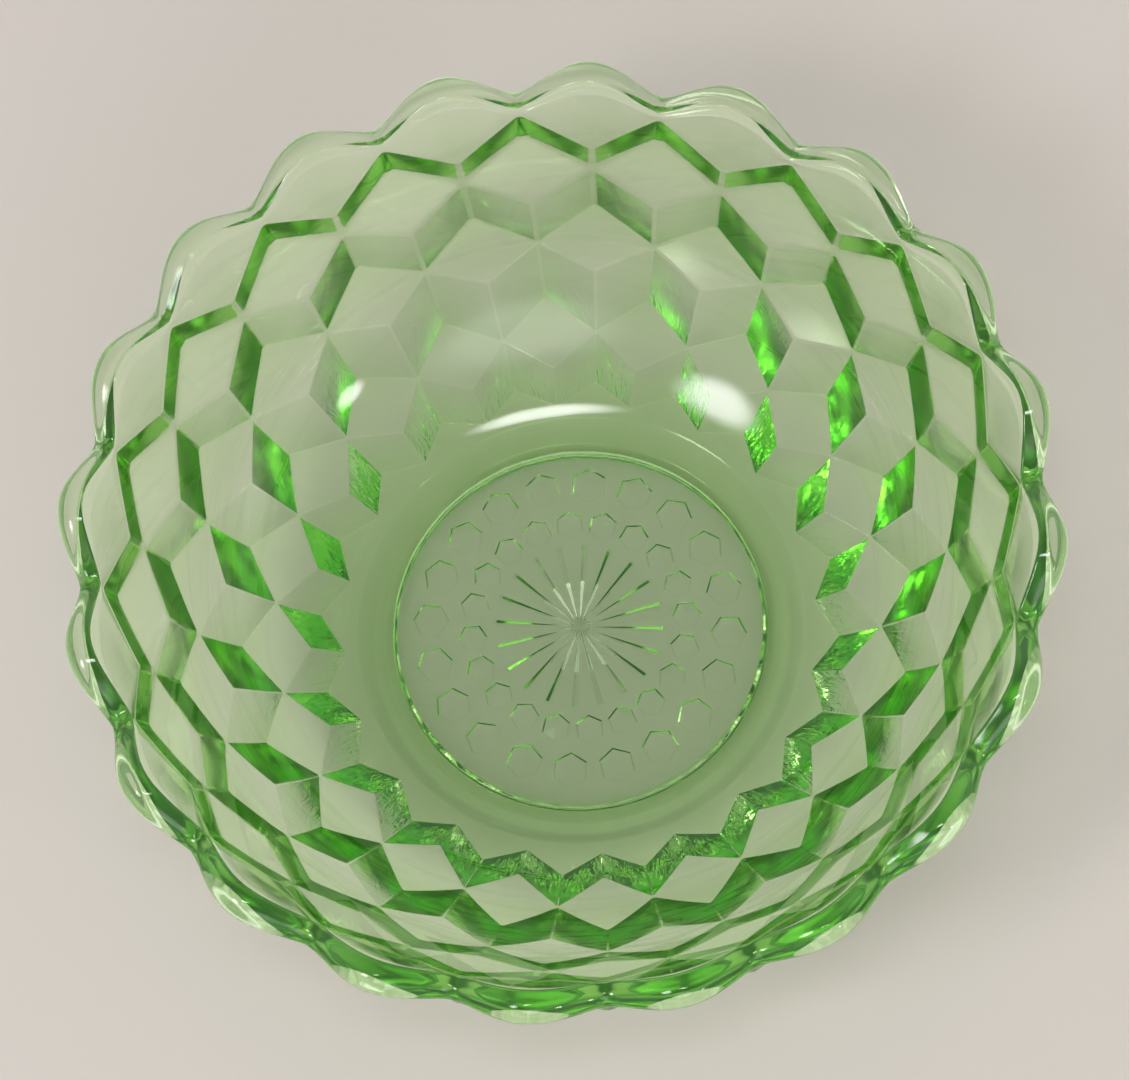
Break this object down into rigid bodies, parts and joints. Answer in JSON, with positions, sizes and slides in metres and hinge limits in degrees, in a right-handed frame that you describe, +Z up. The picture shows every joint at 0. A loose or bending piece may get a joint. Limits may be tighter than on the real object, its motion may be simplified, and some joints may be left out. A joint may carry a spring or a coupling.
{
  "type": "glass dish",
  "caption": "Round pressed-glass dish in pale green glass, with a scalloped lip, a tumbling-block relief outside, a smooth inside and a low ring foot.",
  "frame": {"origin": "centre of the ring that the dish stands on, at its underside", "axes": "+Z up along the dish's axis; a notch of the scalloped lip lies on +X"},
  "size_m": [0.1632, 0.1632, 0.0619],
  "materials": {
    "green_glass": "fire-polished pressed glass, gloss"
  },
  "bodies": {
    "root": {"dish": "green_glass"}
  },
  "joints": []
}
